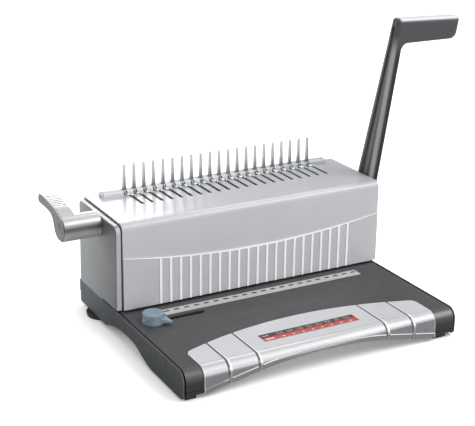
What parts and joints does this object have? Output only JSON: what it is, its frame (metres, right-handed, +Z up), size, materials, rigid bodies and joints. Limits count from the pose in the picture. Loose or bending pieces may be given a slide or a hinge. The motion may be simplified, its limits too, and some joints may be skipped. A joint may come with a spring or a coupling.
{
  "type": "comb binding machine",
  "caption": "Manual desk machine that punches rectangular holes in sheets with a tall handle and opens plastic combs with a side lever.",
  "frame": {"origin": "on the desk, under the centre of the whole machine's bounding box", "axes": "+X to the operator's right along the comb, -Y towards the operator, +Z up from the desk"},
  "size_m": [0.5525, 0.3288, 0.3848],
  "materials": {
    "housing_silver": "fine satin silver paint",
    "rib_white": "satin near-white paint",
    "cap_slate": "satin moulded slate plastic",
    "tray_charcoal": "fine-grained charcoal moulded plastic",
    "panel_slate": "satin dark slate plastic",
    "trim_silver": "satin silver paint on moulded plastic",
    "label_print": "glossy printed label, black over red",
    "ruler_pale": "matt pale strip with cut hole marks",
    "rubber_black": "matt moulded rubber",
    "rail_pale": "satin pale plastic",
    "finger_steel": "tumbled stainless steel",
    "hook_steel": "bright nickel-plated steel",
    "frame_steel": "zinc-plated sheet steel",
    "die_steel": "ground tool steel",
    "bush_brass": "turned brass",
    "nylon_white": "natural nylon",
    "spring_steel": "drawn spring wire",
    "screw_zinc": "zinc-plated screws",
    "handle_charcoal": "satin charcoal moulded grip plastic over a steel core",
    "lever_silver": "satin silver paint on a cast lever",
    "knob_blue": "satin blue-grey plastic",
    "drawer_black": "matt black plastic"
  },
  "bodies": {
    "frame": {"base_pan": "frame_steel", "base_rear_wall": "panel_slate", "left_side_panel": "panel_slate", "right_side_panel": "panel_slate", "tray_cover": "tray_charcoal", "front_trim": "trim_silver", "size_label": "label_print", "hole_ruler": "ruler_pale", "front_feet": "rubber_black", "rear_feet": "rubber_black", "foot_screws": "screw_zinc", "main_cover": "housing_silver", "front_ribs": "rib_white", "rear_cover": "cap_slate", "rear_screws": "screw_zinc", "comb_rail": "rail_pale", "comb_strip": "frame_steel", "comb_fingers": "finger_steel", "left_end_cap": "cap_slate", "right_end_cap": "cap_slate", "left_frame_plate": "frame_steel", "right_frame_plate": "frame_steel", "lower_die": "die_steel", "upper_die_guide": "die_steel", "paper_back_stop": "frame_steel", "shaft_bushings": "bush_brass", "opener_bushings": "bush_brass", "carriage_guides": "nylon_white", "spring_bar": "frame_steel", "drawer_rails": "panel_slate", "beam_springs": "spring_steel"},
    "punch_handle": {"handle_lever": "handle_charcoal", "handle_hub_cover": "handle_charcoal", "handle_screw": "screw_zinc", "punch_shaft": "die_steel", "punch_pinions": "die_steel"},
    "punch_bar": {"punch_beam": "die_steel", "punch_pins": "die_steel", "punch_racks": "die_steel"},
    "comb_opener": {"opener_lever": "lever_silver", "opener_shaft": "die_steel", "opener_pinions": "nylon_white", "opener_screw": "screw_zinc"},
    "hook_carriage": {"hook_plate": "frame_steel", "comb_hooks": "hook_steel", "opener_racks": "nylon_white"},
    "edge_guide": {"guide_slider": "knob_blue", "guide_pointer": "knob_blue"},
    "clamp_knob": {"guide_knob": "knob_blue", "knob_stud": "screw_zinc"},
    "drawer": {"chip_drawer": "drawer_black", "drawer_front": "drawer_black"}
  },
  "joints": [
    {"name": "handle_pull", "type": "hinge", "parent": "frame", "child": "punch_handle", "pos_m": [0.18, 0.081, 0.088], "axis": [1, 0, 0], "range_deg": [0, 75], "stiffness_Nm_per_rad": 0.9, "springref_deg": -63.03},
    {"name": "punch_stroke", "type": "slide", "parent": "frame", "child": "punch_bar", "axis": [0, 0, -1], "range_m": [0, 0.0132], "deforming": ["beam_springs"]},
    {"name": "opener_swing", "type": "hinge", "parent": "frame", "child": "comb_opener", "pos_m": [-0.26, 0.084, 0.1372], "axis": [1, 0, 0], "range_deg": [0, 150]},
    {"name": "hook_slide", "type": "slide", "parent": "frame", "child": "hook_carriage", "axis": [0, -1, 0], "range_m": [0, 0.029]},
    {"name": "guide_travel", "type": "slide", "parent": "frame", "child": "edge_guide", "axis": [1, 0, 0], "range_m": [0, 0.06]},
    {"name": "knob_turn", "type": "hinge", "parent": "edge_guide", "child": "clamp_knob", "pos_m": [-0.1953, -0.02, 0.045], "axis": [0, 0, 1], "range_deg": [0, 180]},
    {"name": "drawer_pull", "type": "slide", "parent": "frame", "child": "drawer", "axis": [0, 1, 0], "range_m": [0, 0.1]}
  ],
  "couplings": [
    {"joint": "punch_stroke", "follows": "handle_pull", "m_per_rad": 0.01},
    {"joint": "hook_slide", "follows": "opener_swing", "m_per_rad": 0.011}
  ]
}
